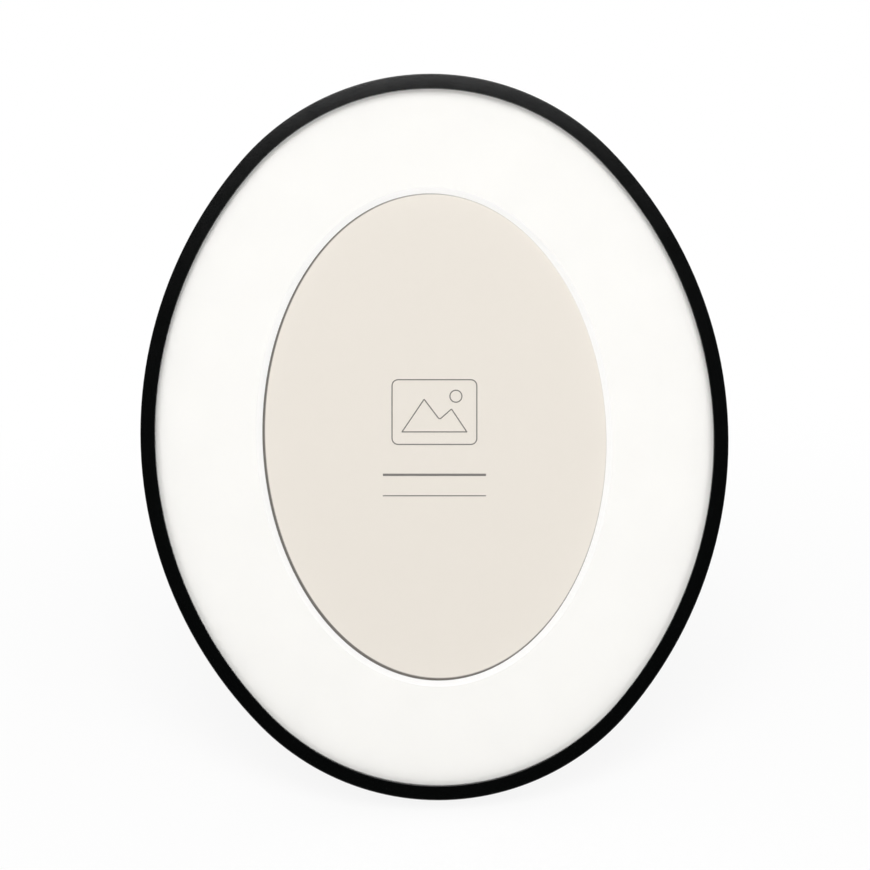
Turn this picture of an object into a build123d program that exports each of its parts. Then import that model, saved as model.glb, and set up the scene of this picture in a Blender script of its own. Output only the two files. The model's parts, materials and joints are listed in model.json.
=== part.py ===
from build123d import *
import os
from math import asin, atan2, copysign, cos, degrees, hypot, radians, sin, tan

# An oval picture frame for a table or a wall, in millimetres.
# It stands on z = 0 with its picture towards -Y, leaning back onto its open strut.
# The origin is on the table, straight below the middle of the rail.
# Left and right are as seen from the front. "Depth" runs from the rail's front face to the back.

# Rail: an oval of four arcs
outer_width = 204.0
outer_height = 252.0
end_arc_step = 15.3            # by which the radius of the end arcs is less than half the width
rail_face_width = 5.1          # what shows from the front
rail_depth = 16.0
rail_wall = 2.4
lip_thickness = 1.6
front_edge_radius = 0.4
sight_edge_radius = 0.3
rear_edge_radius = 0.4
groove_depth = 1.2             # for the tips of the turn buttons
groove_play = 0.2              # on each side of a tip

# Glass, mat, photo and boards, from the front to the back
pack_clearance = 0.4           # from the edges of the pane and the boards to the rail's wall
glazing_thickness = 1.5
mat_thickness = 2.0
opening_width = 120.0          # of the mat, at its back
opening_height = 170.0
mat_bevel_angle = 45.0
insert_width = 130.0
insert_height = 180.0
insert_thickness = 0.3
filler_thickness = 1.5
backing_thickness = 3.0

# Turn buttons
upper_button_angle = 50.0      # the way the upper and lower ones point, from the horizontal
lower_button_angle = 50.0
button_pivot_inset = 8.0       # from the rail's wall to the rivet
button_catch_length = 0.9      # of the tip in the groove
button_thickness = 0.8
button_tip_width = 7.0
button_hub_radius = 4.5
button_tail_width = 5.0
button_tail_clearance = 0.9    # lets the tail pass the rail's wall
button_tab_height = 2.2        # the upturned end that a finger pushes
button_gap = 0.2               # between the backing board and a button
button_head_gap = 0.15         # between a button and its rivet's head
button_pivot_clearance = 0.05
button_corner_radius = 1.0

# Rivets
rivet_shank_radius = 1.5
rivet_head_radius = 3.0
rivet_head_height = 1.1
rivet_dome_radius = 0.9
rivet_tail_radius = 2.2
rivet_tail_height = 0.6
rivet_tail_sink = 0.3          # of the clinched tail below the board's front face
rivet_tail_room = 0.3          # round the clinched tail
rivet_hole_clearance = 0.05

# Strut and its hinge
hinge_rise = 32.0              # of the pin above the middle of the oval
open_angle = 24.0              # between the strut and the backing board
hinge_width = 34.0
hinge_pin_radius = 0.8
hinge_pin_fit = 0.02           # round the pin in the backing leaf, which holds it
hinge_running_clearance = 0.05
hinge_end_gap = 0.3            # between neighbouring knuckles
centre_knuckle_width = 16.0
backing_leaf_thickness = 1.1
backing_leaf_height = 17.0
strut_leaf_thickness = 0.8
strut_leaf_height = 22.0
leaf_corner_radius = 3.0
stop_gap = 0.05                # left between the stop and the backing leaf
hinge_rivet_spacing = 20.0
hinge_rivet_rise = 11.0        # above the pin
strut_rivet_spacing = 20.0
strut_rivet_drop = 9.0         # below the pin
strut_low_rivet_drop = 17.0    # of the third one, in the middle
strut_thickness = 3.0
strut_top_gap = 0.6            # between the strut's top edge and the knuckles
strut_foot_width = 46.0
strut_end_gap = 1.5            # between the folded strut's corners and the rail's wall
strut_corner_radius = 3.0

# Wall hanger: a raised plate with a keyhole
hanger_drop = 34.0             # from the top of the oval to the middle of the plate
hanger_width = 46.0
hanger_height = 22.0
hanger_thickness = 1.0
hanger_rise = 2.6              # room behind the plate for a screw's head
hanger_foot_length = 9.0
hanger_bend_radius = 0.8
keyhole_entry_radius = 4.2
keyhole_slot_radius = 2.2
keyhole_length = 7.0           # from the entry's centre up to the slot's end
hanger_corner_radius = 2.0

# Centres and radii of the four arcs
half_width = outer_width / 2
half_height = outer_height / 2
end_radius = half_width - end_arc_step
end_centre = half_height - end_radius
side_radius = (half_width**2 + end_centre**2 - end_radius**2) / (2 * (half_width - end_radius))
side_centre = side_radius - half_width
end_half_angle = degrees(atan2(side_centre, end_centre))
side_half_angle = 90.0 - end_half_angle

# Depths of the pieces behind the rail's front face
mat_front = lip_thickness + glazing_thickness
insert_front = mat_front + mat_thickness
filler_front = insert_front + insert_thickness
backing_front = filler_front + filler_thickness
backing_rear = backing_front + backing_thickness
button_front = backing_rear + button_gap
button_rear = button_front + button_thickness
pin_depth = backing_rear + backing_leaf_thickness + hinge_pin_radius

# Strut: measured down from the pin along its front face, which lies on its leaf
strut_bore_radius = hinge_pin_radius + hinge_running_clearance
strut_knuckle_radius = strut_bore_radius + strut_leaf_thickness
backing_knuckle_radius = hinge_pin_radius + backing_leaf_thickness
strut_top = backing_knuckle_radius + strut_top_gap
wall_below_foot = end_centre + ((end_radius - rail_wall) ** 2 - (strut_foot_width / 2) ** 2) ** 0.5
strut_length = hinge_rise + wall_below_foot - strut_end_gap

# Lean: the table touches the strut's foot and the rounded rear edge of the rail's lowest point
open_cos = cos(radians(open_angle))
open_sin = sin(radians(open_angle))
foot_rise = hinge_rise - strut_length * open_cos - strut_bore_radius * open_sin
foot_depth = pin_depth + strut_length * open_sin - strut_bore_radius * open_cos
edge_rise = rear_edge_radius - half_height
edge_depth = rail_depth - rear_edge_radius
foot_reach = hypot(foot_depth - edge_depth, foot_rise - edge_rise)
lean = degrees(atan2(foot_rise - edge_rise, foot_depth - edge_depth) + asin(rear_edge_radius / foot_reach))
lean_cos = cos(radians(lean))
lean_sin = sin(radians(lean))


def leaning_plane(origin, angle):
    """Plane that faces the front and leans back by an angle, with its x to the right and its y up."""
    return Plane(origin=origin, x_dir=(1, 0, 0), z_dir=(0, -cos(radians(angle)), sin(radians(angle))))


face_height = edge_depth * lean_sin - edge_rise * lean_cos + rear_edge_radius
face = leaning_plane((0, -rail_depth / 2 * lean_cos, face_height), lean)
face_axis = Axis(face.origin, face.z_dir)
pin_point = face.from_local_coords((0, hinge_rise, -pin_depth))
strut_face = leaning_plane(pin_point, lean - open_angle)


def at_depth(depth):
    """Plane parallel to the rail's front face and behind it."""
    return face.offset(-depth)


def across_hinge(offset):
    """Plane square to the hinge pin, to the right of the middle by offset, with its x to the back."""
    return Plane(origin=pin_point + Vector(offset, 0, 0), x_dir=-face.z_dir, z_dir=(1, 0, 0))


def oval(inset):
    """Face of the rail's oval, drawn in from its outside by inset."""
    with BuildSketch() as outline:
        with BuildLine():
            for side in (1, -1):
                CenterArc(
                    (0, side * end_centre),
                    end_radius - inset,
                    side * 90 - end_half_angle,
                    2 * end_half_angle,
                )
                CenterArc(
                    (-side * side_centre, 0),
                    side_radius - inset,
                    90 - side * 90 - side_half_angle,
                    2 * side_half_angle,
                )
        make_face()
    return outline.sketch


def rim_point(direction, inset):
    """Point where the inset oval faces a direction, given in degrees from +X towards the top."""
    right = cos(radians(direction))
    up = sin(radians(direction))
    if abs(up) >= cos(radians(end_half_angle)):
        radius = end_radius - inset
        return (radius * right, copysign(end_centre, up) + radius * up)
    radius = side_radius - inset
    return (copysign(side_centre, -right) + radius * right, radius * up)


def board(front, thickness):
    """Oval board or pane that fills the rail's rebate, less its clearance."""
    with BuildPart() as slab:
        with BuildSketch(at_depth(front)):
            add(oval(rail_wall + pack_clearance))
        extrude(amount=-thickness)
    return slab.part


def rivets(plane, spots, tail_depth, tail_height, seat_depth):
    """Domed rivets at spots on a plane, from their clinched tails to the seats of their heads."""
    with BuildPart() as group:
        with BuildSketch(plane.offset(-tail_depth)):
            with Locations(*spots):
                Circle(rivet_shank_radius)
        extrude(amount=tail_depth - seat_depth)
        if tail_height > 0:
            with BuildSketch(plane.offset(-tail_depth)):
                with Locations(*spots):
                    Circle(rivet_tail_radius)
            extrude(amount=-tail_height)
        with BuildSketch(plane.offset(-seat_depth)):
            with Locations(*spots):
                Circle(rivet_head_radius)
        extrude(amount=-rivet_head_height)
        fillet(group.edges().group_by(Axis(plane.origin, plane.z_dir))[0], rivet_dome_radius)
    return group.part


# The way each turn button points, in degrees from +X towards the top
button_directions = {
    "top_right": upper_button_angle,
    "right": 0,
    "bottom_right": -lower_button_angle,
    "bottom_left": 180 + lower_button_angle,
    "left": 180,
    "top_left": 180 - upper_button_angle,
}

# Where the rivets go, on the plane of the rail's face and, for the strut's own, on its plane
wall_inset = rail_wall + button_pivot_inset
button_spots = {name: rim_point(way, wall_inset) for name, way in button_directions.items()}
hinge_spots = [(side * hinge_rivet_spacing / 2, hinge_rise + hinge_rivet_rise) for side in (-1, 1)]
hanger_height_above_middle = half_height - hanger_drop
hanger_spot_offset = (hanger_width - hanger_foot_length) / 2
hanger_spots = [(side * hanger_spot_offset, hanger_height_above_middle) for side in (-1, 1)]
strut_spots = [(side * strut_rivet_spacing / 2, -strut_rivet_drop) for side in (-1, 1)]
strut_spots.append((0, -strut_low_rivet_drop))
backing_spots = list(button_spots.values()) + hinge_spots + hanger_spots
rivet_hole_radius = rivet_shank_radius + rivet_hole_clearance
tail_depth = backing_front + rivet_tail_sink

# Rail: face, wall, rebate, sight opening and groove
with BuildPart() as frame_rail:
    with BuildSketch(face):
        add(oval(0))
    extrude(amount=-rail_depth)
    fillet(frame_rail.edges().group_by(face_axis)[-1], front_edge_radius)
    fillet(frame_rail.edges().group_by(face_axis)[0], rear_edge_radius)
    with BuildSketch(at_depth(lip_thickness)):
        add(oval(rail_wall))
    extrude(amount=lip_thickness - rail_depth, mode=Mode.SUBTRACT)
    with BuildSketch(face):
        add(oval(rail_face_width))
    extrude(amount=-lip_thickness, mode=Mode.SUBTRACT)
    fillet(frame_rail.edges(Select.LAST).group_by(face_axis)[-1], sight_edge_radius)
    with BuildSketch(at_depth(button_front - groove_play)):
        add(oval(rail_wall - groove_depth))
    extrude(amount=-(button_thickness + 2 * groove_play), mode=Mode.SUBTRACT)

# Clear pane
with BuildPart() as glazing:
    add(board(lip_thickness, glazing_thickness))

# Mat, with its opening bevelled towards the front
with BuildPart() as mat_board:
    add(board(mat_front, mat_thickness))
    bevel_run = mat_thickness * tan(radians(mat_bevel_angle))
    with BuildSketch(at_depth(mat_front)):
        Ellipse(opening_width / 2 + bevel_run, opening_height / 2 + bevel_run)
    with BuildSketch(at_depth(insert_front)):
        Ellipse(opening_width / 2, opening_height / 2)
    loft(mode=Mode.SUBTRACT)

# Photo card
with BuildPart() as photo_insert:
    with BuildSketch(at_depth(insert_front)):
        Rectangle(insert_width, insert_height)
    extrude(amount=-insert_thickness)

# Filler board
with BuildPart() as filler_card:
    add(board(filler_front, filler_thickness))

# Backing board, drilled from the front for the rivets and their clinched tails
with BuildPart() as backing_board:
    add(board(backing_front, backing_thickness))
    with Locations(at_depth(backing_front)):
        with Locations(*backing_spots):
            CounterBoreHole(
                rivet_hole_radius,
                rivet_tail_radius + rivet_tail_room,
                rivet_tail_sink + rivet_tail_height,
                backing_thickness,
            )

# Turn buttons: a round-ended tip, a hub on the rivet and an upturned tail
button_tip_reach = button_pivot_inset + button_catch_length
button_tail_reach = button_pivot_inset - button_tail_clearance
turn_buttons = {}
for place, spot in button_spots.items():
    pivot = at_depth(button_front).location * Location((*spot, 0), (0, 0, button_directions[place]))
    button_plane = Plane(pivot)
    with BuildPart() as turn_button:
        with BuildSketch(button_plane) as blank:
            Circle(button_tip_reach)
            with Locations((button_tip_reach / 2, 0)):
                Rectangle(button_tip_reach, button_tip_width, mode=Mode.INTERSECT)
            fillet(blank.vertices().group_by(Axis.X)[-1], button_corner_radius)
            Circle(button_hub_radius)
            with Locations((-button_tail_reach / 2, 0)):
                Rectangle(button_tail_reach, button_tail_width)
            Circle(rivet_shank_radius + button_pivot_clearance, mode=Mode.SUBTRACT)
        extrude(amount=-button_thickness)
        with BuildSketch(button_plane.offset(-button_thickness)):
            with Locations(((button_thickness - 2 * button_tail_reach) / 2, 0)):
                Rectangle(button_thickness, button_tail_width)
        extrude(amount=-button_tab_height)
    turn_buttons[place] = turn_button

with BuildPart() as turn_button_rivets:
    head_seat = button_rear + button_head_gap
    add(rivets(face, list(button_spots.values()), tail_depth, rivet_tail_height, head_seat))

# Wall hanger: a strip bent up in the middle, with a keyhole in the raised part
hanger_plane = Plane(
    origin=face.from_local_coords((0, hanger_height_above_middle, -backing_rear)),
    x_dir=(1, 0, 0),
    z_dir=face.y_dir,
)
hanger_seat = backing_rear + hanger_thickness
with BuildPart() as hanger_plate:
    foot_start = hanger_width / 2
    foot_end = foot_start - hanger_foot_length
    raised_end = foot_end - hanger_rise
    with BuildSketch(hanger_plane):
        with BuildLine() as strip:
            Polyline(
                (-foot_start, 0),
                (-foot_end, 0),
                (-raised_end, hanger_rise),
                (raised_end, hanger_rise),
                (foot_end, 0),
                (foot_start, 0),
            )
            fillet(strip.vertices().sort_by(Axis.X)[1:-1], hanger_bend_radius)
            offset(amount=hanger_thickness, side=Side.LEFT, kind=Kind.INTERSECTION)
        make_face()
    extrude(amount=hanger_height / 2, both=True)
    outer_edges = hanger_plate.edges().filter_by(face_axis).group_by(Axis.X)
    fillet(outer_edges[0] + outer_edges[-1], hanger_corner_radius)
    entry_height = hanger_height_above_middle - keyhole_length / 2
    with BuildSketch(at_depth(backing_rear + hanger_rise)):
        with Locations((0, entry_height)):
            Circle(keyhole_entry_radius)
        with Locations((0, entry_height + keyhole_length / 2)):
            Rectangle(2 * keyhole_slot_radius, keyhole_length)
        with Locations((0, entry_height + keyhole_length)):
            Circle(keyhole_slot_radius)
    extrude(amount=-hanger_thickness, mode=Mode.SUBTRACT)
    with Locations(at_depth(hanger_seat)):
        with Locations(*hanger_spots):
            Hole(rivet_hole_radius, 2 * hanger_thickness)

with BuildPart() as hanger_rivets:
    add(rivets(face, hanger_spots, tail_depth, rivet_tail_height, hanger_seat))

# Hinge leaf on the backing board: two knuckles hold the pin, and the notch between clears the strut's
outer_knuckle_start = centre_knuckle_width / 2 + hinge_end_gap
outer_knuckle_width = hinge_width / 2 - outer_knuckle_start
leaf_seat = backing_rear + backing_leaf_thickness
with BuildPart() as hinge_backing_leaf:
    with BuildSketch(at_depth(backing_rear)) as plate:
        with Locations((0, hinge_rise + backing_leaf_height / 2)):
            Rectangle(hinge_width, backing_leaf_height)
        fillet(plate.vertices().group_by(Axis.Y)[-1], leaf_corner_radius)
        with Locations((0, hinge_rise)):
            notch_height = 2 * (strut_knuckle_radius + hinge_end_gap)
            Rectangle(2 * outer_knuckle_start, notch_height, mode=Mode.SUBTRACT)
        with Locations(*hinge_spots):
            Circle(rivet_hole_radius, mode=Mode.SUBTRACT)
    extrude(amount=-backing_leaf_thickness)
    for side in (-1, 1):
        with BuildSketch(across_hinge(side * outer_knuckle_start)):
            Circle(backing_knuckle_radius)
        extrude(amount=side * outer_knuckle_width)
    with BuildSketch(across_hinge(0)):
        Circle(hinge_pin_radius + hinge_pin_fit)
    extrude(amount=hinge_width / 2, both=True, mode=Mode.SUBTRACT)

with BuildPart() as hinge_pin:
    with BuildSketch(across_hinge(0)):
        Circle(hinge_pin_radius)
    extrude(amount=hinge_width / 2, both=True)

with BuildPart() as hinge_rivets:
    add(rivets(face, hinge_spots, tail_depth, rivet_tail_height, leaf_seat))

# Hinge leaf on the strut: its knuckle runs on into a tail, which meets the backing leaf when it is open
stop_length = (strut_bore_radius * open_cos + hinge_pin_radius - stop_gap) / open_sin
with BuildPart() as hinge_strut_leaf:
    with BuildSketch(strut_face.offset(strut_knuckle_radius)) as plate:
        with Locations((0, -strut_leaf_height / 2)):
            Rectangle(centre_knuckle_width, strut_leaf_height)
        with Locations((0, -(strut_top + strut_leaf_height) / 2)):
            Rectangle(hinge_width, strut_leaf_height - strut_top)
        fillet(plate.vertices().group_by(Axis.Y)[0], leaf_corner_radius)
        with Locations(*strut_spots):
            Circle(rivet_hole_radius, mode=Mode.SUBTRACT)
    extrude(amount=-strut_leaf_thickness)
    with BuildSketch(strut_face.offset(-strut_bore_radius)):
        with Locations((0, stop_length / 2)):
            Rectangle(centre_knuckle_width, stop_length)
    extrude(amount=-strut_leaf_thickness)
    with BuildSketch(across_hinge(0)):
        Circle(strut_knuckle_radius)
    extrude(amount=centre_knuckle_width / 2, both=True)
    with BuildSketch(across_hinge(0)):
        Circle(strut_bore_radius)
    extrude(amount=centre_knuckle_width / 2, both=True, mode=Mode.SUBTRACT)

# Strut: widens to its foot, which is cut level with the table
with BuildPart() as strut:
    with BuildSketch(strut_face.offset(strut_bore_radius)) as leg:
        with BuildLine():
            Polyline(
                (-hinge_width / 2, -strut_top),
                (hinge_width / 2, -strut_top),
                (strut_foot_width / 2, -strut_length - strut_thickness),
                (-strut_foot_width / 2, -strut_length - strut_thickness),
                close=True,
            )
        make_face()
        fillet(leg.vertices().group_by(Axis.Y)[-1], strut_corner_radius)
        with Locations(*strut_spots):
            Circle(rivet_hole_radius, mode=Mode.SUBTRACT)
    extrude(amount=-strut_thickness)
    split(bisect_by=Plane.XY, keep=Keep.TOP)

with BuildPart() as strut_rivets:
    strut_seat = strut_thickness - strut_bore_radius
    add(rivets(strut_face, strut_spots, -strut_knuckle_radius, 0, strut_seat))

# One file for each piece
pieces = {
    "frame_rail": frame_rail,
    "glazing": glazing,
    "mat_board": mat_board,
    "photo_insert": photo_insert,
    "filler_card": filler_card,
    "backing_board": backing_board,
    "turn_button_rivets": turn_button_rivets,
    "hanger_plate": hanger_plate,
    "hanger_rivets": hanger_rivets,
    "hinge_backing_leaf": hinge_backing_leaf,
    "hinge_pin": hinge_pin,
    "hinge_rivets": hinge_rivets,
    "hinge_strut_leaf": hinge_strut_leaf,
    "strut": strut,
    "strut_rivets": strut_rivets,
}
for place, turn_button in turn_buttons.items():
    pieces[f"turn_button_{place}"] = turn_button
os.makedirs("parts", exist_ok=True)
for name, piece in pieces.items():
    piece.part.label = name
    export_step(piece.part, f"parts/{name}.step")
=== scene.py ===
import json
import math

import bmesh
import bpy
from mathutils import Matrix, Vector


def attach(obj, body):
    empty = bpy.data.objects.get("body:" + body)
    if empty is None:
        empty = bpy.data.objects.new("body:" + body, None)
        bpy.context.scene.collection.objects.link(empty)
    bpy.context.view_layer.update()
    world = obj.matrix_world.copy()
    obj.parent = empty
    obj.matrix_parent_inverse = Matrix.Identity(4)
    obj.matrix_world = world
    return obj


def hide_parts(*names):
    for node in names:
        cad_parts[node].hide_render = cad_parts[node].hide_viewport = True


bl_info = {
    "name": "Oval picture frame",
    "version": (1, 0, 0),
    "blender": (4, 5, 0),
    "location": "3D View > Sidebar > Oval frame",
    "description": "Dresses an oval picture frame with its finishes and stands it on a white table",
    "category": "Object",
}

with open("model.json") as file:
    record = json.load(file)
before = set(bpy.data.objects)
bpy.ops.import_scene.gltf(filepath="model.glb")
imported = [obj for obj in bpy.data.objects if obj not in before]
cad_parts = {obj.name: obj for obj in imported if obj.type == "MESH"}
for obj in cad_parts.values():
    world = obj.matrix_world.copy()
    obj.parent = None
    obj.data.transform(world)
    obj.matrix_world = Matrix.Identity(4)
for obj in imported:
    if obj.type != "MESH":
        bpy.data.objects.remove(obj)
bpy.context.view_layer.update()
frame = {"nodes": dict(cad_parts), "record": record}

MM = 0.001
MERGE_DISTANCE = 0.002 * MM
ARC_STEPS = 48
SHARP_ANGLE = math.radians(40)
FLAT_ANGLE = math.radians(0.5)
RIGHT = Vector((1, 0, 0))
UP = Vector((0, 0, 1))


# The face of the rail, read from the frame


def facing():
    """Turn that takes right, up and out of the rail's face to the frame's axes."""
    rim = next(mount for mount in frame["record"]["mounts"] if mount["name"] == "wall_rim")
    out = -Vector(rim["axis"]).normalized()
    return Matrix((RIGHT, out.cross(RIGHT), out)).transposed().to_4x4()


def box_in(node, place):
    """Lowest and highest corner of a node in the axes of a place."""
    inverse = place.inverted()
    corners = [inverse @ vertex.co for vertex in frame["nodes"][node].data.vertices]
    low = Vector(min(corner[axis] for corner in corners) for axis in range(3))
    high = Vector(max(corner[axis] for corner in corners) for axis in range(3))
    return low, high


def face_of_rail():
    """Place of the oval's middle on the front of the rail, with z out of the face."""
    turn = facing()
    low, high = box_in("frame_rail", turn)
    return turn @ Matrix.Translation((0, (low.y + high.y) / 2, high.z))


FACE = face_of_rail()
RAIL_LOW, RAIL_HIGH = box_in("frame_rail", FACE)
PANE_LOW, PANE_HIGH = box_in("glazing", FACE)
MAT_LOW, MAT_HIGH = box_in("mat_board", FACE)
CARD_HIGH = box_in("photo_insert", FACE)[1]
BUTTON_HIGH = box_in("turn_button_right", FACE)[1]
RIVET_NODES = ["turn_button_rivets", "hanger_rivets", "hinge_rivets", "strut_rivets"]
BUTTON_NODES = sorted(
    node for node in frame["nodes"] if node.startswith("turn_button_") and node not in RIVET_NODES
)
PLATED_NODES = [*BUTTON_NODES, "hanger_plate", "hinge_backing_leaf", "hinge_strut_leaf", "hinge_pin"]


# Colours and sizes that a user would change


def linear(code):
    """Linear colour of an sRGB hex value."""
    shares = [int(code[start : start + 2], 16) / 255 for start in (1, 3, 5)]
    return [share / 12.92 if share <= 0.04045 else ((share + 0.055) / 1.055) ** 2.4 for share in shares]


def length(name, description, metres):
    """Length in metres, shown in the file's units."""
    return bpy.props.FloatProperty(
        name=name, description=description, default=metres, unit="LENGTH", precision=5
    )


def angle(name, description, degrees):
    """Angle, given in degrees."""
    return bpy.props.FloatProperty(
        name=name, description=description, default=math.radians(degrees), subtype="ANGLE"
    )


def power(name, description, watts):
    """Power of a lamp, given in watts."""
    return bpy.props.FloatProperty(name=name, description=description, default=watts, unit="POWER")


def colour(name, description, code):
    """Colour, given as an sRGB hex value."""
    return bpy.props.FloatVectorProperty(
        name=name, description=description, default=linear(code), subtype="COLOR", size=3, min=0, max=1
    )


class RailSettings(bpy.types.PropertyGroup):
    """Section and finish of the rail."""

    end_arc_step: length("End arc step", "Half the width less the radius of the end arcs", 15.3 * MM)
    face_width: length("Face width", "Width of the rail that shows from the front", 5.1 * MM)
    wall: length("Wall", "Thickness of the rail's wall", 2.4 * MM)
    lip: length("Lip", "Thickness of the lip in front of the pane", -PANE_HIGH.z)
    groove_depth: length("Groove depth", "Depth of the groove for the turn buttons", 1.2 * MM)
    groove_play: length("Groove play", "Room on each side of a button's tip", 0.2 * MM)
    tip_thickness: length("Tip thickness", "Thickness of a turn button's tip in the groove", 0.8 * MM)
    front_radius: length("Front edge", "Rounding of the outer front edge", 0.4 * MM)
    sight_radius: length("Sight edge", "Rounding of the edge beside the pane", 0.3 * MM)
    rear_radius: length("Rear edge", "Rounding of the rear edges", 0.4 * MM)
    paint: colour("Paint", "Colour of the powder coat", "#040505")


class MatSettings(bpy.types.PropertyGroup):
    """Pane, and opening and paper of the mat."""

    pane_seam: length("Pane seam", "Width of the seam ground on the pane's edges", 0.25 * MM)
    opening_width: length("Opening width", "Width of the opening at the mat's back", 120 * MM)
    opening_height: length("Opening height", "Height of the opening at the mat's back", 170 * MM)
    air_gap: length("Air gap", "Air between the pane, the mat and the card", 0.03 * MM)
    paper: colour("Paper", "Colour of the facing paper", "#f3f2ef")
    core: colour("Core", "Colour of the cut core", "#ffffff")


class CardSettings(bpy.types.PropertyGroup):
    """Photo card, the painted shadow line round its opening, and its printed mark."""

    stock: colour("Stock", "Colour of the card", "#e3ddd4")
    # The next five settings paint a shadow: a soft grey line on the card stands for the shade under the
    # mat's cut edge, set off right and up so it shows most on the left and bottom
    painted_shadow_colour: colour("Keyline", "Colour of the printed line round the oval field", "#6c6863")
    painted_shadow_inset: length("Keyline inset", "From the opening's edge in to the printed line", 0.24 * MM)
    painted_shadow_fade: length("Keyline fade", "Width over which the printed line fades", 0.45 * MM)
    painted_shadow_right: length("Keyline right", "By which the printed line is off to the right", 0.46 * MM)
    painted_shadow_up: length("Keyline up", "By which the printed line is off upwards", 0.32 * MM)
    ink: colour("Ink", "Colour of the printed mark", "#77746f")
    mark_width: length("Mark width", "Width of the printed picture mark", 30 * MM)
    mark_height: length("Mark height", "Height of the printed picture mark", 23 * MM)
    mark_rise: length("Mark rise", "From the oval's middle up to the mark's middle", 8.7 * MM)
    mark_turn: angle("Mark turn", "By which the print lies turned to the right in the oval", 1.9)
    rule_width: length("Rule width", "Length of the printed rules", 36 * MM)
    upper_rule_drop: length("Upper rule", "From the oval's middle down to the upper rule", 13.2 * MM)
    lower_rule_drop: length("Lower rule", "From the oval's middle down to the lower rule", 20.5 * MM)
    line_width: length("Line width", "Width of the printed lines", 0.42 * MM)
    ink_thickness: length("Ink thickness", "Thickness of the printed film", 0.02 * MM)


class BackSettings(bpy.types.PropertyGroup):
    """Boards and hardware behind the picture."""

    board: colour("Board", "Main colour of the hardboard", "#7d5737")
    fibre: colour("Fibre", "Dark fibres in the hardboard", "#4b321f")
    filler: colour("Filler", "Colour of the grey board", "#8d8984")
    zinc: colour("Zinc", "Colour of the plated steel", "#c2c5c8")
    rivet: colour("Rivets", "Colour of the bright rivets", "#cfcdc8")
    metal_edge: length("Metal edge", "Rounding of the pressed metal's edges", 0.12 * MM)
    board_edge: length("Board edge", "Rounding of the strut's sawn edges", 0.3 * MM)


class StageSettings(bpy.types.PropertyGroup):
    """Light and camera."""

    camera_distance: length("Camera distance", "From the rail's face to the camera", 0.75)
    view_width: length("View width", "Width that the image shows at the rail's face", 0.3015)
    camera_right: length("Camera right", "Aim to the right of the oval's middle", 0.2 * MM)
    camera_up: length("Camera up", "Aim above the oval's middle", 0.7 * MM)
    camera_roll: angle("Camera roll", "Turn of the camera that leans the frame's top to the left", 1.9)
    key_power: power("Key power", "Power of the overhead lamp", 16.8)
    fill_power: power("Fill power", "Power of each side lamp", 3.1)
    rear_power: power("Rear power", "Power of the lamp behind", 2.8)
    ambient: bpy.props.FloatProperty(name="Ambient", description="Even light from all round", default=0.37)


# Materials

# Numbers of the sockets of a colour mix, whose names repeat
MIX_FIRST, MIX_SECOND, MIX_RESULT = 6, 7, 2


def per_metre(size_mm):
    """Texture scale that gives marks of this size in millimetres."""
    return 1000 / size_mm


def add_node(tree, kind, inputs=None, **settings):
    """Add a node, set its settings and fill its inputs with values or links."""
    node = tree.nodes.new(kind)
    for name, value in settings.items():
        setattr(node, name, value)
    for key, value in (inputs or {}).items():
        if isinstance(value, bpy.types.NodeSocket):
            tree.links.new(value, node.inputs[key])
        else:
            node.inputs[key].default_value = value
    return node


def new_material(name):
    """Material with an empty tree, and that tree."""
    material = bpy.data.materials.new(name)
    material.use_nodes = True
    material.node_tree.nodes.clear()
    return material, material.node_tree


def opaque(rgb):
    """Colour with full alpha, as a node's socket takes it."""
    return (*rgb, 1)


def face_coordinates(tree, shift=(0, 0)):
    """Coordinates in the axes of the rail's face, with the origin moved by shift."""
    place = add_node(tree, "ShaderNodeTexCoord").outputs["Object"]
    inverse = (FACE @ Matrix.Translation((*shift, 0))).inverted()
    mapping = add_node(
        tree,
        "ShaderNodeMapping",
        {"Vector": place, "Location": inverse.translation, "Rotation": inverse.to_euler()},
    )
    return mapping.outputs["Vector"]


def shaded(tree, base, pattern, low, high, spread=(0.3, 0.7)):
    """Colour that follows a pattern, from a low to a high share of the base."""
    share = add_node(
        tree,
        "ShaderNodeMapRange",
        {"Value": pattern, "From Min": spread[0], "From Max": spread[1], "To Min": low, "To Max": high},
    )
    tint = add_node(
        tree, "ShaderNodeVectorMath", {0: base, "Scale": share.outputs["Result"]}, operation="SCALE"
    )
    return tint.outputs["Vector"]


def powder_coat(rail):
    """Satin black powder coat on aluminium: a fine orange peel breaks up broad, soft highlights."""
    material, tree = new_material("powder_coated_aluminium")
    place = add_node(tree, "ShaderNodeTexCoord").outputs["Object"]
    # Orange peel, and broad patches that are slightly more or less glossy
    peel = add_node(
        tree,
        "ShaderNodeTexNoise",
        {"Vector": place, "Scale": per_metre(0.7), "Detail": 3.0, "Roughness": 0.55},
    )
    patches = add_node(
        tree, "ShaderNodeTexNoise", {"Vector": place, "Scale": per_metre(9), "Detail": 2.0}
    )
    gloss = add_node(
        tree,
        "ShaderNodeMapRange",
        {"Value": patches.outputs["Fac"], "From Min": 0.3, "From Max": 0.7, "To Min": 0.15, "To Max": 0.17},
    )
    bump = add_node(
        tree,
        "ShaderNodeBump",
        {"Height": peel.outputs["Fac"], "Strength": 0.35, "Distance": 0.04 * MM},
    )
    shader = add_node(
        tree,
        "ShaderNodeBsdfPrincipled",
        {
            "Base Color": opaque(rail.paint),
            "Roughness": gloss.outputs["Result"],
            "IOR": 1.5,
            "Normal": bump.outputs["Normal"],
        },
    )
    add_node(tree, "ShaderNodeOutputMaterial", {"Surface": shader.outputs["BSDF"]})
    return material


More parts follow.
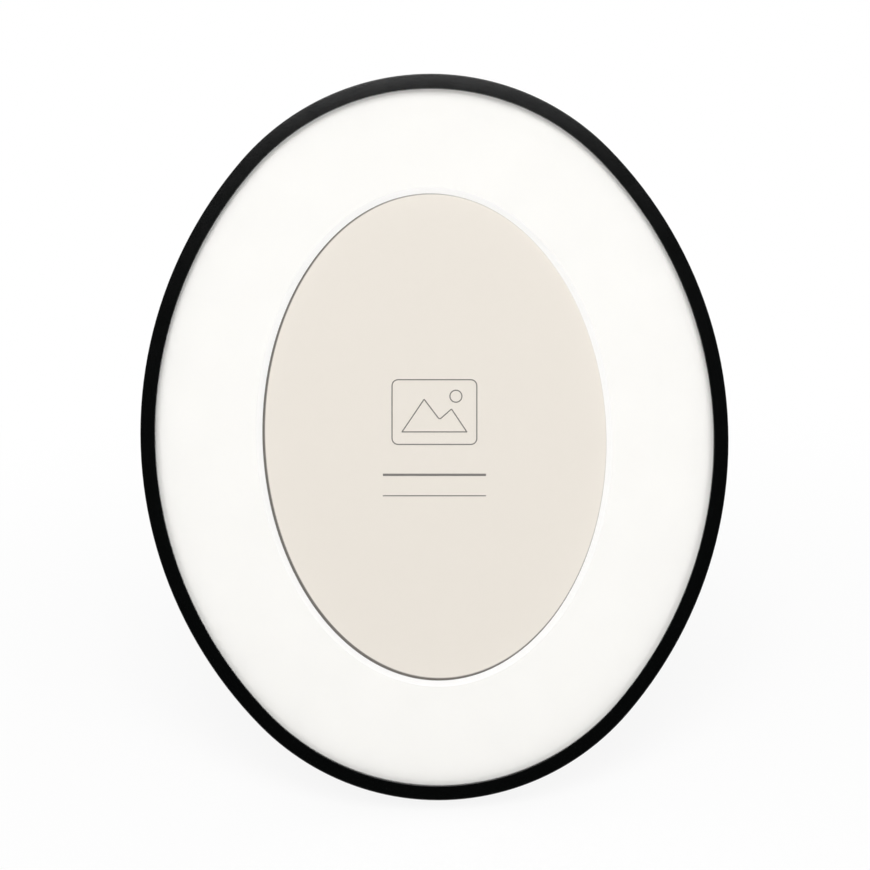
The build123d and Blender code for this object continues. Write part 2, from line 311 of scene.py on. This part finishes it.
def float_glass():
    """Clear float glass: a thin flat pane that only adds its mirror image, stronger at a slant."""
    material, tree = new_material("clear_float_glass")
    # Only the side where light enters mirrors it
    slant = add_node(tree, "ShaderNodeFresnel", {"IOR": 1.52})
    side = add_node(tree, "ShaderNodeNewGeometry")
    entering = add_node(
        tree, "ShaderNodeMath", {0: 1.0, 1: side.outputs["Backfacing"]}, operation="SUBTRACT"
    )
    mirror = add_node(
        tree, "ShaderNodeMath", {0: slant.outputs["Fac"], 1: entering.outputs[0]}, operation="MULTIPLY"
    )
    clear = add_node(tree, "ShaderNodeBsdfTransparent", {"Color": (1, 1, 1, 1)})
    gloss = add_node(tree, "ShaderNodeBsdfAnisotropic", {"Color": (1, 1, 1, 1), "Roughness": 0.02})
    pane = add_node(
        tree,
        "ShaderNodeMixShader",
        {"Fac": mirror.outputs[0], 1: clear.outputs["BSDF"], 2: gloss.outputs["BSDF"]},
    )
    add_node(tree, "ShaderNodeOutputMaterial", {"Surface": pane.outputs["Shader"]})
    return material


def pressed_paper(name, base, tooth_mm, roughness):
    """Uncoated paper: matt, with a fine tooth and the faintest cloudiness."""
    material, tree = new_material(name)
    place = add_node(tree, "ShaderNodeTexCoord").outputs["Object"]
    cloud = add_node(tree, "ShaderNodeTexNoise", {"Vector": place, "Scale": per_metre(18), "Detail": 3.0})
    # The real tooth is too fine to show, so it is drawn coarser
    tooth = add_node(
        tree,
        "ShaderNodeTexNoise",
        {"Vector": place, "Scale": per_metre(tooth_mm), "Detail": 4.0, "Roughness": 0.6},
    )
    bump = add_node(
        tree,
        "ShaderNodeBump",
        {"Height": tooth.outputs["Fac"], "Strength": 0.15, "Distance": 0.05 * MM},
    )
    shader = add_node(
        tree,
        "ShaderNodeBsdfPrincipled",
        {
            "Base Color": shaded(tree, base, cloud.outputs["Fac"], 0.985, 1.0),
            "Roughness": roughness,
            "IOR": 1.45,
            "Specular IOR Level": 0.25,
            "Normal": bump.outputs["Normal"],
        },
    )
    add_node(tree, "ShaderNodeOutputMaterial", {"Surface": shader.outputs["BSDF"]})
    return material


def card_with_painted_shadow(mat, card):
    """Smooth beige card with painted shade: a soft grey line round its oval field stands for the shadow
    under the mat's cut edge, set off to the right and up so that it shows on the left and bottom.
    """
    material, tree = new_material("photo_card_painted_shadow")
    place = face_coordinates(tree, (card.painted_shadow_right, card.painted_shadow_up))
    # The painted shadow line starts where the distance from the middle nears that of the field's edge
    half_width = mat.opening_width / 2 - card.painted_shadow_inset
    half_height = mat.opening_height / 2 - card.painted_shadow_inset
    scaled = add_node(
        tree,
        "ShaderNodeVectorMath",
        {0: place, 1: (1 / half_width, 1 / half_height, 0)},
        operation="MULTIPLY",
    )
    radius = add_node(tree, "ShaderNodeVectorMath", {0: scaled.outputs["Vector"]}, operation="LENGTH")
    line = add_node(
        tree,
        "ShaderNodeMapRange",
        {"Value": radius.outputs["Value"], "From Min": 1 - card.painted_shadow_fade / half_width, "From Max": 1.0},
        interpolation_type="SMOOTHSTEP",
    )
    # Flecks of the pulp, drawn coarser than the real ones so that they show
    fleck = add_node(tree, "ShaderNodeTexNoise", {"Vector": place, "Scale": per_metre(0.9), "Detail": 4.0})
    # Mix the card's stock with the painted shadow line, which stands for shade and not for print
    printed = add_node(
        tree,
        "ShaderNodeMix",
        {
            "Factor": line.outputs["Result"],
            MIX_FIRST: shaded(tree, card.stock, fleck.outputs["Fac"], 0.99, 1.01),
            MIX_SECOND: opaque(card.painted_shadow_colour),
        },
        data_type="RGBA",
    )
    shader = add_node(
        tree,
        "ShaderNodeBsdfPrincipled",
        {
            "Base Color": printed.outputs[MIX_RESULT],
            "Roughness": 0.55,
            "IOR": 1.45,
            "Specular IOR Level": 0.3,
        },
    )
    add_node(tree, "ShaderNodeOutputMaterial", {"Surface": shader.outputs["BSDF"]})
    return material


def printing_ink(card):
    """Grey offset ink: a thin, even film whose tone varies slightly with the paper's tooth."""
    material, tree = new_material("grey_offset_ink")
    place = add_node(tree, "ShaderNodeTexCoord").outputs["Object"]
    # The tooth is drawn coarser than the real one so that it shows
    tooth = add_node(tree, "ShaderNodeTexNoise", {"Vector": place, "Scale": per_metre(0.5), "Detail": 2.0})
    tint = shaded(tree, card.ink, tooth.outputs["Fac"], 0.92, 1.08, spread=(0, 1))
    shader = add_node(
        tree, "ShaderNodeBsdfPrincipled", {"Base Color": tint, "Roughness": 0.5, "IOR": 1.45}
    )
    add_node(tree, "ShaderNodeOutputMaterial", {"Surface": shader.outputs["BSDF"]})
    return material


def grey_board(back):
    """Recycled grey board: dull, with pale and dark paper flecks."""
    material, tree = new_material("recycled_grey_board")
    place = add_node(tree, "ShaderNodeTexCoord").outputs["Object"]
    flecks = add_node(
        tree,
        "ShaderNodeTexNoise",
        {"Vector": place, "Scale": per_metre(1.2), "Detail": 6.0, "Roughness": 0.7},
    )
    shader = add_node(
        tree,
        "ShaderNodeBsdfPrincipled",
        {
            "Base Color": shaded(tree, back.filler, flecks.outputs["Fac"], 0.8, 1.15),
            "Roughness": 0.9,
            "IOR": 1.45,
            "Specular IOR Level": 0.2,
        },
    )
    add_node(tree, "ShaderNodeOutputMaterial", {"Surface": shader.outputs["BSDF"]})
    return material


def short_fibres(tree, place):
    """Pattern of short fibres in three layers, each turned another way."""
    fibres = 0.0
    for turn in (0.5, -0.7, 1.4):
        along = add_node(
            tree,
            "ShaderNodeMapping",
            {
                "Vector": place,
                "Rotation": (0, 0, turn),
                "Scale": (per_metre(0.45), per_metre(3.2), per_metre(0.45)),
            },
        )
        layer = add_node(
            tree,
            "ShaderNodeTexNoise",
            {"Vector": along.outputs["Vector"], "Scale": 1.0, "Detail": 2.0, "Distortion": 0.6},
        )
        strand = add_node(
            tree,
            "ShaderNodeMapRange",
            {"Value": layer.outputs["Fac"], "From Min": 0.56, "From Max": 0.72},
        )
        fibres = add_node(
            tree, "ShaderNodeMath", {0: fibres, 1: strand.outputs["Result"]}, operation="MAXIMUM"
        ).outputs[0]
    return fibres


def hardboard(back):
    """Pressed hardboard: brown and faintly polished, with short dark fibres lying every way."""
    material, tree = new_material("pressed_hardboard")
    place = face_coordinates(tree)
    fibres = short_fibres(tree, place)
    clouds = add_node(tree, "ShaderNodeTexNoise", {"Vector": place, "Scale": per_metre(22), "Detail": 4.0})
    darkening = add_node(tree, "ShaderNodeMath", {0: fibres, 1: 0.55}, operation="MULTIPLY")
    fibred = add_node(
        tree,
        "ShaderNodeMix",
        {
            "Factor": darkening.outputs[0],
            MIX_FIRST: shaded(tree, back.board, clouds.outputs["Fac"], 0.84, 1.12),
            MIX_SECOND: opaque(back.fibre),
        },
        data_type="RGBA",
    )
    gloss = add_node(tree, "ShaderNodeMapRange", {"Value": fibres, "To Min": 0.5, "To Max": 0.68})
    bump = add_node(tree, "ShaderNodeBump", {"Height": fibres, "Strength": 0.25, "Distance": 0.06 * MM})
    shader = add_node(
        tree,
        "ShaderNodeBsdfPrincipled",
        {
            "Base Color": fibred.outputs[MIX_RESULT],
            "Roughness": gloss.outputs["Result"],
            "IOR": 1.5,
            "Normal": bump.outputs["Normal"],
        },
    )
    add_node(tree, "ShaderNodeOutputMaterial", {"Surface": shader.outputs["BSDF"]})
    return material


def plated_steel(name, base, bright, dull):
    """Plated pressed steel: pale and bright, with rolled streaks and soft stains in its shine."""
    material, tree = new_material(name)
    place = face_coordinates(tree)
    along = add_node(
        tree,
        "ShaderNodeMapping",
        {"Vector": place, "Scale": (per_metre(6), per_metre(0.25), per_metre(0.25))},
    )
    streaks = add_node(
        tree, "ShaderNodeTexNoise", {"Vector": along.outputs["Vector"], "Scale": 1.0, "Detail": 3.0}
    )
    stains = add_node(
        tree,
        "ShaderNodeTexNoise",
        {"Vector": place, "Scale": per_metre(5), "Detail": 4.0, "Roughness": 0.6},
    )
    both = add_node(
        tree, "ShaderNodeMath", {0: streaks.outputs["Fac"], 1: stains.outputs["Fac"]}, operation="ADD"
    )
    gloss = add_node(
        tree,
        "ShaderNodeMapRange",
        {"Value": both.outputs[0], "From Min": 0.7, "From Max": 1.3, "To Min": bright, "To Max": dull},
    )
    bump = add_node(
        tree,
        "ShaderNodeBump",
        {"Height": streaks.outputs["Fac"], "Strength": 0.12, "Distance": 0.02 * MM},
    )
    shader = add_node(
        tree,
        "ShaderNodeBsdfPrincipled",
        {
            "Base Color": shaded(tree, base, stains.outputs["Fac"], 0.88, 1.04),
            "Metallic": 1.0,
            "Roughness": gloss.outputs["Result"],
            "Normal": bump.outputs["Normal"],
        },
    )
    add_node(tree, "ShaderNodeOutputMaterial", {"Surface": shader.outputs["BSDF"]})
    return material


# Meshes


def finish_piece(bm, name, body, materials, replaced, place=FACE):
    """Turn a mesh into a piece that rides on a body and stands for its nodes."""
    bmesh.ops.transform(bm, matrix=place, verts=bm.verts)
    mesh = bpy.data.meshes.new(name)
    bm.to_mesh(mesh)
    bm.free()
    mesh.shade_smooth()
    mesh.set_sharp_from_angle(angle=SHARP_ANGLE)
    for material in materials:
        mesh.materials.append(material)
    piece = bpy.data.objects.new(name, mesh)
    bpy.context.scene.collection.objects.link(piece)
    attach(piece, body)
    if replaced:
        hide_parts(*replaced)
    return piece


def keep_faces_flat(piece):
    """Keep the flat faces of a rounded piece flat in the light."""
    weighted = piece.modifiers.new("flat_faces", "WEIGHTED_NORMAL")
    weighted.keep_sharp = True


def dress_node(node, material):
    """Give a node of the frame its material."""
    mesh = frame["nodes"][node].data
    mesh.materials.clear()
    mesh.materials.append(material)


def bevel(bm, geometry, radius, segments, affect="EDGES"):
    """Round edges, or with VERTICES the corners of a flat shape."""
    bmesh.ops.bevel(
        bm,
        geom=geometry,
        offset=radius,
        offset_type="OFFSET",
        affect=affect,
        segments=segments,
        profile=0.5,
        material=-1,
        clamp_overlap=True,
    )


def sharp_edges(bm):
    """Edges at which two faces meet at a sharp angle."""
    return [edge for edge in bm.edges if edge.is_manifold and edge.calc_face_angle() > SHARP_ANGLE]


def arcs(rail):
    """Centre and half angle of the oval's four arcs, from the right one round by the top.

    The radius of the right arc comes with them.
    """
    end_radius = RAIL_HIGH.x - rail.end_arc_step
    end_centre = RAIL_HIGH.y - end_radius
    side_radius = (RAIL_HIGH.x**2 + end_centre**2 - end_radius**2) / (2 * rail.end_arc_step)
    side_centre = side_radius - RAIL_HIGH.x
    end_angle = math.atan2(side_centre, end_centre)
    side_angle = math.pi / 2 - end_angle
    path = [
        (Vector((-side_centre, 0, 0)), side_angle),
        (Vector((0, end_centre, 0)), end_angle),
        (Vector((side_centre, 0, 0)), side_angle),
        (Vector((0, -end_centre, 0)), end_angle),
    ]
    return path, side_radius


def oval_start(rail, inset, height):
    """Point of the inset oval where its sweep starts, at the lower end of the right arc."""
    path, side_radius = arcs(rail)
    centre, half_angle = path[0]
    radius = side_radius - inset
    return centre + Vector((radius * math.cos(half_angle), -radius * math.sin(half_angle), height))


def sweep_oval(bm, rail, geometry):
    """Carry geometry from the start once round the oval and close it."""
    path, _ = arcs(rail)
    for centre, half_angle in path:
        swept = bmesh.ops.spin(
            bm,
            geom=geometry,
            cent=centre,
            axis=UP,
            angle=2 * half_angle,
            steps=ARC_STEPS,
            use_merge=False,
            use_duplicate=False,
        )
        geometry = swept["geom_last"]
    bmesh.ops.remove_doubles(bm, verts=bm.verts, dist=MERGE_DISTANCE)


def oval_loop(bm, rail, inset, height):
    """Edges of an inset oval at a height."""
    before = set(bm.edges)
    start = bm.verts.new(oval_start(rail, inset, height))
    sweep_oval(bm, rail, [start])
    return [edge for edge in bm.edges if edge not in before]


def ellipse_loop(bm, half_width, half_height, height):
    """Edges of an ellipse at a height."""
    placed = Matrix.Translation((0, 0, height)) @ Matrix.Diagonal((half_width, half_height, 1, 1))
    made = bmesh.ops.create_circle(bm, segments=4 * ARC_STEPS, radius=1, matrix=placed)
    return list({edge for vert in made["verts"] for edge in vert.link_edges})


def build_rail(rail):
    """Rail as its section, swept round the oval and rounded at its edges."""
    bm = bmesh.new()
    corner = bm.verts.layers.int.new("corner")
    rear = RAIL_LOW.z
    groove_front = BUTTON_HIGH.z + rail.groove_play
    groove_rear = groove_front - rail.tip_thickness - 2 * rail.groove_play
    groove_floor = rail.wall - rail.groove_depth
    # Inset from the outer wall and height of each corner of the section
    section = {
        "front": (0, 0),
        "rear_outside": (0, rear),
        "rear_inside": (rail.wall, rear),
        "groove_rear": (rail.wall, groove_rear),
        "groove_floor_rear": (groove_floor, groove_rear),
        "groove_floor_front": (groove_floor, groove_front),
        "groove_front": (rail.wall, groove_front),
        "rebate": (rail.wall, -rail.lip),
        "lip_rear": (rail.face_width, -rail.lip),
        "sight": (rail.face_width, 0),
    }
    verts = [bm.verts.new(oval_start(rail, inset, height)) for inset, height in section.values()]
    for number, vert in enumerate(verts):
        vert[corner] = number
    edges = [bm.edges.new((vert, verts[number - 1])) for number, vert in enumerate(verts)]
    sweep_oval(bm, rail, verts + edges)
    bmesh.ops.recalc_face_normals(bm, faces=bm.faces)
    rims = {
        name: [edge for edge in bm.edges if all(vert[corner] == number for vert in edge.verts)]
        for number, name in enumerate(section)
    }
    bevel(bm, rims["front"], rail.front_radius, segments=5)
    bevel(bm, rims["rear_outside"] + rims["rear_inside"], rail.rear_radius, segments=3)
    bevel(bm, rims["sight"], rail.sight_radius, segments=3)
    return bm


def build_pane(rail, mat):
    """Glass pane: an oval slab with its sharp edges seamed."""
    bm = bmesh.new()
    inset = RAIL_HIGH.x - PANE_HIGH.x
    front = oval_loop(bm, rail, inset, PANE_HIGH.z - mat.air_gap)
    rear = oval_loop(bm, rail, inset, PANE_LOW.z + mat.air_gap)
    bmesh.ops.bridge_loops(bm, edges=front + rear)
    for rim in (front, rear):
        bmesh.ops.contextual_create(bm, geom=rim)
    bmesh.ops.recalc_face_normals(bm, faces=bm.faces)
    bevel(bm, sharp_edges(bm), mat.pane_seam, segments=1)
    return bm


def build_mat(rail, mat):
    """Mat: an oval board whose oval opening is cut at a slant, so that its core shows."""
    bm = bmesh.new()
    inset = RAIL_HIGH.x - MAT_HIGH.x
    front = MAT_HIGH.z - mat.air_gap
    rear = MAT_LOW.z + mat.air_gap
    run = front - rear
    half_width = mat.opening_width / 2
    half_height = mat.opening_height / 2
    outer_front = oval_loop(bm, rail, inset, front)
    cut_front = ellipse_loop(bm, half_width + run, half_height + run, front)
    cut_rear = ellipse_loop(bm, half_width, half_height, rear)
    outer_rear = oval_loop(bm, rail, inset, rear)
    paper, core = 0, 1
    bands = (
        (outer_front, outer_rear, paper),
        (cut_front, outer_front, paper),
        (cut_rear, cut_front, core),
        (outer_rear, cut_rear, paper),
    )
    for first, second, material in bands:
        made = bmesh.ops.bridge_loops(bm, edges=first + second)
        for face in made["faces"]:
            face.material_index = material
    bmesh.ops.recalc_face_normals(bm, faces=bm.faces)
    return bm


def flat_shape(corners, rounding):
    """Flat shape with rounded corners."""
    shape = bmesh.new()
    shape.faces.new([shape.verts.new((*corner, 0)) for corner in corners])
    bevel(shape, shape.verts[:], rounding, segments=6, affect="VERTICES")
    return shape


def add_line_round(bm, shape, line_width):
    """Add to a mesh the border of a flat shape, as a band of the line's width, and free the shape."""
    middle = shape.faces[:]
    bmesh.ops.inset_region(
        shape, faces=middle, thickness=line_width, use_boundary=True, use_even_offset=True
    )
    bmesh.ops.delete(shape, geom=middle, context="FACES_ONLY")
    mesh = bpy.data.meshes.new("line")
    shape.to_mesh(mesh)
    shape.free()
    bm.from_mesh(mesh)
    bpy.data.meshes.remove(mesh)


def build_mark(card):
    """Plain picture mark in thin lines: a border, two hills and a sun, with two rules below."""
    bm = bmesh.new()
    right = card.mark_width / 2
    top = card.mark_height / 2
    line = card.line_width

    border = [(-right, -top), (right, -top), (right, top), (-right, top)]
    border_rounding = 0.2 * top
    add_line_round(bm, flat_shape(border, border_rounding), line)

    foot = 0.78 * right
    ground = -0.62 * top
    near_peak = (0.4 * right, 0.12 * top)
    saddle = (0.12 * right, -0.2 * top)
    far_peak = (-0.24 * right, 0.42 * top)
    hills = [(-foot, ground), (foot, ground), near_peak, saddle, far_peak]
    hill_rounding = 1.2 * line
    add_line_round(bm, flat_shape(hills, hill_rounding), line)

    sun = bmesh.new()
    sun_radius = 0.2 * top
    sun_place = Matrix.Translation((0.5 * right, 0.48 * top, 0))
    bmesh.ops.create_circle(sun, cap_ends=True, segments=40, radius=sun_radius, matrix=sun_place)
    add_line_round(bm, sun, line)

    bmesh.ops.translate(bm, verts=bm.verts, vec=(0, card.mark_rise, 0))
    for drop, width in ((card.upper_rule_drop, 2 * line), (card.lower_rule_drop, line)):
        placed = Matrix.Translation((0, -drop, 0)) @ Matrix.Diagonal((card.rule_width, width, 1, 1))
        bmesh.ops.create_grid(bm, x_segments=1, y_segments=1, size=0.5, matrix=placed)
    bmesh.ops.recalc_face_normals(bm, faces=bm.faces)
    bmesh.ops.solidify(bm, geom=bm.faces[:], thickness=card.ink_thickness)
    bmesh.ops.recalc_face_normals(bm, faces=bm.faces)
    on_card = Matrix.Translation((0, 0, CARD_HIGH.z + card.ink_thickness))
    bmesh.ops.transform(bm, matrix=on_card @ Matrix.Rotation(-card.mark_turn, 4, "Z"), verts=bm.verts)
    return bm


def softened_copy(node, radius):
    """Copy of a node's mesh with its sharp edges rounded."""
    bm = bmesh.new()
    bm.from_mesh(frame["nodes"][node].data)
    bmesh.ops.remove_doubles(bm, verts=bm.verts, dist=MERGE_DISTANCE)
    bmesh.ops.dissolve_limit(bm, angle_limit=FLAT_ANGLE, verts=bm.verts, edges=bm.edges)
    bevel(bm, sharp_edges(bm), radius, segments=2)
    return bm


# Operators, one for each piece or group of like pieces


class OVALFRAME_OT_rail(bpy.types.Operator):
    """Sweep the black rail round the oval"""

    bl_idname = "ovalframe.rail"
    bl_label = "Rail"

    def execute(self, context):
        rail = context.scene.ovalframe_rail
        bm = build_rail(rail)
        piece = finish_piece(bm, "oval_rail", "frame", [powder_coat(rail)], ["frame_rail"])
        keep_faces_flat(piece)
        return {"FINISHED"}


class OVALFRAME_OT_pane(bpy.types.Operator):
    """Cut the glass pane to the oval"""

    bl_idname = "ovalframe.pane"
    bl_label = "Glass pane"

    def execute(self, context):
        bm = build_pane(context.scene.ovalframe_rail, context.scene.ovalframe_mat)
        finish_piece(bm, "glass_pane", "frame", [float_glass()], ["glazing"])
        return {"FINISHED"}


class OVALFRAME_OT_mat(bpy.types.Operator):
    """Cut the mat and its slanted opening"""

    bl_idname = "ovalframe.mat"
    bl_label = "Mat"

    def execute(self, context):
        mat = context.scene.ovalframe_mat
        paper = pressed_paper("white_mat_paper", mat.paper, tooth_mm=0.8, roughness=0.9)
        core = pressed_paper("cut_mat_core", mat.core, tooth_mm=0.5, roughness=0.95)
        bm = build_mat(context.scene.ovalframe_rail, mat)
        finish_piece(bm, "bevelled_mat", "frame", [paper, core], ["mat_board"])
        return {"FINISHED"}


class OVALFRAME_OT_card(bpy.types.Operator):
    """Dress the photo card with its painted shadow line, and print its mark"""

    bl_idname = "ovalframe.card"
    bl_label = "Photo card"

    def execute(self, context):
        card = context.scene.ovalframe_card
        dress_node("photo_insert", card_with_painted_shadow(context.scene.ovalframe_mat, card))
        finish_piece(build_mark(card), "printed_mark", "frame", [printing_ink(card)], [])
        return {"FINISHED"}


class OVALFRAME_OT_boards(bpy.types.Operator):
    """Finish the filler, the backing board and the strut"""

    bl_idname = "ovalframe.boards"
    bl_label = "Boards"

    def execute(self, context):
        back = context.scene.ovalframe_back
        dress_node("filler_card", grey_board(back))
        board = hardboard(back)
        dress_node("backing_board", board)
        bm = softened_copy("strut", back.board_edge)
        leg = finish_piece(bm, "folding_strut", "strut", [board], ["strut"], Matrix())
        keep_faces_flat(leg)
        return {"FINISHED"}


class OVALFRAME_OT_hardware(bpy.types.Operator):
    """Finish the turn buttons, the hanger, the hinge and the rivets"""

    bl_idname = "ovalframe.hardware"
    bl_label = "Hardware"

    def execute(self, context):
        back = context.scene.ovalframe_back
        zinc = plated_steel("zinc_plated_steel", back.zinc, bright=0.26, dull=0.42)
        nickel = plated_steel("nickel_plated_steel", back.rivet, bright=0.16, dull=0.3)
        bodies = frame["record"]["behaviour"]["bodies"]
        body_of = {node: body for body, nodes in bodies.items() for node in nodes}
        for node in PLATED_NODES:
            bm = softened_copy(node, back.metal_edge)
            piece = finish_piece(bm, f"plated_{node}", body_of[node], [zinc], [node], Matrix())
            keep_faces_flat(piece)
        for node in RIVET_NODES:
            dress_node(node, nickel)
        return {"FINISHED"}


# Stage, with sizes and places in metres

TABLE_WIDTH = 12.0
BLACK_CARD_WIDTH = 10.0
BLACK_CARD_DISTANCE = 2.4
# Lamps: width and height, and place to the right of, above and in front of the oval's middle
OVERHEAD_LAMP = ((0.95, 1.07), Vector((0, 1.0, 1.73)))
RIGHT_LAMP = ((0.5, 0.9), Vector((0.6, 0, 1.1)))
LEFT_LAMP = ((0.5, 0.9), Vector((-0.6, 0, 1.1)))
# The lamp behind stands on the table's own axes
REAR_LAMP = ((0.9, 0.6), Vector((0.5, 1.0, 0.8)))


def seen_by_eye(tree):
    """1 for what the camera sees, also in a mirror or through glass, and 0 for light on the object."""
    path = add_node(tree, "ShaderNodeLightPath").outputs
    mirrored = add_node(
        tree,
        "ShaderNodeMath",
        {0: path["Is Glossy Ray"], 1: path["Is Transmission Ray"]},
        operation="MAXIMUM",
    )
    seen = add_node(
        tree, "ShaderNodeMath", {0: path["Is Camera Ray"], 1: mirrored.outputs[0]}, operation="MAXIMUM"
    )
    return seen.outputs[0]


def white_table():
    """Smooth white table top: nearly as white as the room for the eye, and it keeps a soft shadow."""
    material, tree = new_material("white_table_top")
    surface = add_node(
        tree, "ShaderNodeBsdfDiffuse", {"Color": opaque(linear("#f7f7f7")), "Roughness": 0.5}
    )
    white = add_node(tree, "ShaderNodeEmission", {"Color": (1, 1, 1, 1), "Strength": 1.0})
    # The shadow shows near the object, and further off the table is as white as the room
    place = add_node(tree, "ShaderNodeTexCoord").outputs["Object"]
    away = add_node(tree, "ShaderNodeVectorMath", {0: place}, operation="LENGTH")
    whiteness = add_node(
        tree,
        "ShaderNodeMapRange",
        {"Value": away.outputs["Value"], "From Min": 0.1, "From Max": 0.45, "To Min": 0.87, "To Max": 1.0},
        interpolation_type="SMOOTHSTEP",
    )
    share = add_node(
        tree, "ShaderNodeMath", {0: seen_by_eye(tree), 1: whiteness.outputs["Result"]}, operation="MULTIPLY"
    )
    mix = add_node(
        tree,
        "ShaderNodeMixShader",
        {"Fac": share.outputs[0], 1: surface.outputs["BSDF"], 2: white.outputs["Emission"]},
    )
    add_node(tree, "ShaderNodeOutputMaterial", {"Surface": mix.outputs["Shader"]})
    return material


def black_card():
    """Dull black card, which the rail and the pane mirror as an even, deep black."""
    material, tree = new_material("black_studio_card")
    surface = add_node(tree, "ShaderNodeEmission", {"Color": (1, 1, 1, 1), "Strength": 0.01})
    add_node(tree, "ShaderNodeOutputMaterial", {"Surface": surface.outputs["Emission"]})
    return material


def stage_panel(name, width, place, material):
    """Flat square panel of the stage, centred on a place."""
    bm = bmesh.new()
    bmesh.ops.create_grid(bm, x_segments=1, y_segments=1, size=width / 2, matrix=place)
    mesh = bpy.data.meshes.new(name)
    bm.to_mesh(mesh)
    bm.free()
    mesh.materials.append(material)
    panel = bpy.data.objects.new(name, mesh)
    bpy.context.scene.collection.objects.link(panel)
    return panel


def set_panels():
    """Lay the table, and stand a black card in front that only mirrors show."""
    stage_panel("table_top", TABLE_WIDTH, Matrix(), white_table())
    place = FACE @ Matrix.Translation((0, 0, BLACK_CARD_DISTANCE))
    card = stage_panel("black_card", BLACK_CARD_WIDTH, place, black_card())
    card.visible_camera = False
    card.visible_diffuse = False
    card.visible_transmission = False
    card.visible_shadow = False


def light_room(ambient):
    """Fill the room with even light, and show it white."""
    world = bpy.data.worlds.new("white_room")
    bpy.context.scene.world = world
    world.use_nodes = True
    tree = world.node_tree
    tree.nodes.clear()
    light = add_node(tree, "ShaderNodeBackground", {"Color": (1, 1, 1, 1), "Strength": ambient})
    white = add_node(tree, "ShaderNodeBackground", {"Color": (1, 1, 1, 1), "Strength": 1.0})
    mix = add_node(
        tree,
        "ShaderNodeMixShader",
        {"Fac": seen_by_eye(tree), 1: light.outputs["Background"], 2: white.outputs["Background"]},
    )
    add_node(tree, "ShaderNodeOutputWorld", {"Surface": mix.outputs["Shader"]})


def aimed(position, target, up):
    """Place at a position whose -z points at a target and whose y leans towards up."""
    out = (position - target).normalized()
    right = up.cross(out).normalized()
    turn = Matrix((right, out.cross(right), out)).transposed().to_4x4()
    return Matrix.Translation(position) @ turn


def soft_lamp(name, watts, size, position):
    """Rectangular soft lamp, aimed at the oval's middle."""
    lamp = bpy.data.lights.new(name, "AREA")
    lamp.shape = "RECTANGLE"
    lamp.size, lamp.size_y = size
    lamp.energy = watts
    holder = bpy.data.objects.new(name, lamp)
    holder.matrix_world = aimed(position, FACE.translation, UP)
    bpy.context.scene.collection.objects.link(holder)
    return holder


def set_lamps(stage):
    """Hang the lamps, with the side ones kept out of mirrors."""
    size, place = OVERHEAD_LAMP
    soft_lamp("overhead_lamp", stage.key_power, size, FACE @ place)
    for name, (size, place) in {"left_lamp": LEFT_LAMP, "right_lamp": RIGHT_LAMP}.items():
        lamp = soft_lamp(name, stage.fill_power, size, FACE @ place)
        lamp.visible_glossy = False
    size, place = REAR_LAMP
    soft_lamp("rear_lamp", stage.rear_power, size, place)


def set_camera(stage):
    """Look straight at the face, with the camera rolled."""
    turn = FACE.to_3x3() @ Matrix.Rotation(-stage.camera_roll, 3, "Z")
    target = FACE.translation + turn @ Vector((stage.camera_right, stage.camera_up, 0))
    position = target + turn @ Vector((0, 0, stage.camera_distance))
    camera = bpy.data.cameras.new("camera")
    camera.lens = camera.sensor_width * stage.camera_distance / stage.view_width
    camera.clip_start = 10 * MM
    holder = bpy.data.objects.new("camera", camera)
    holder.matrix_world = aimed(position, target, turn.col[1])
    bpy.context.scene.collection.objects.link(holder)
    bpy.context.scene.camera = holder


class OVALFRAME_OT_stage(bpy.types.Operator):
    """Set the white table, the soft light and the camera"""

    bl_idname = "ovalframe.stage"
    bl_label = "Stage"

    def execute(self, context):
        stage = context.scene.ovalframe_stage
        context.scene.view_settings.view_transform = "Standard"
        set_panels()
        light_room(stage.ambient)
        set_lamps(stage)
        set_camera(stage)
        return {"FINISHED"}


OPERATORS = (
    OVALFRAME_OT_rail,
    OVALFRAME_OT_pane,
    OVALFRAME_OT_mat,
    OVALFRAME_OT_card,
    OVALFRAME_OT_boards,
    OVALFRAME_OT_hardware,
    OVALFRAME_OT_stage,
)
SETTINGS = {
    "ovalframe_rail": RailSettings,
    "ovalframe_mat": MatSettings,
    "ovalframe_card": CardSettings,
    "ovalframe_back": BackSettings,
    "ovalframe_stage": StageSettings,
}


class OVALFRAME_PT_sidebar(bpy.types.Panel):
    """Settings and steps of the oval picture frame"""

    bl_idname = "OVALFRAME_PT_sidebar"
    bl_label = "Oval frame"
    bl_space_type = "VIEW_3D"
    bl_region_type = "UI"
    bl_category = "Oval frame"

    def draw(self, context):
        for operator in OPERATORS:
            self.layout.operator(operator.bl_idname)
        for name, settings in SETTINGS.items():
            box = self.layout.box()
            for setting in settings.__annotations__:
                box.prop(getattr(context.scene, name), setting)


def register():
    for name, settings in SETTINGS.items():
        bpy.utils.register_class(settings)
        setattr(bpy.types.Scene, name, bpy.props.PointerProperty(type=settings))
    for operator in OPERATORS:
        bpy.utils.register_class(operator)
    bpy.utils.register_class(OVALFRAME_PT_sidebar)


def unregister():
    bpy.utils.unregister_class(OVALFRAME_PT_sidebar)
    for operator in reversed(OPERATORS):
        bpy.utils.unregister_class(operator)
    for name, settings in SETTINGS.items():
        delattr(bpy.types.Scene, name)
        bpy.utils.unregister_class(settings)


def main():
    """Build every piece and the stage."""
    register()
    bpy.ops.ovalframe.rail()
    bpy.ops.ovalframe.pane()
    bpy.ops.ovalframe.mat()
    bpy.ops.ovalframe.card()
    bpy.ops.ovalframe.boards()
    bpy.ops.ovalframe.hardware()
    bpy.ops.ovalframe.stage()
    bpy.context.view_layer.update()


if __name__ == "__main__":
    main()
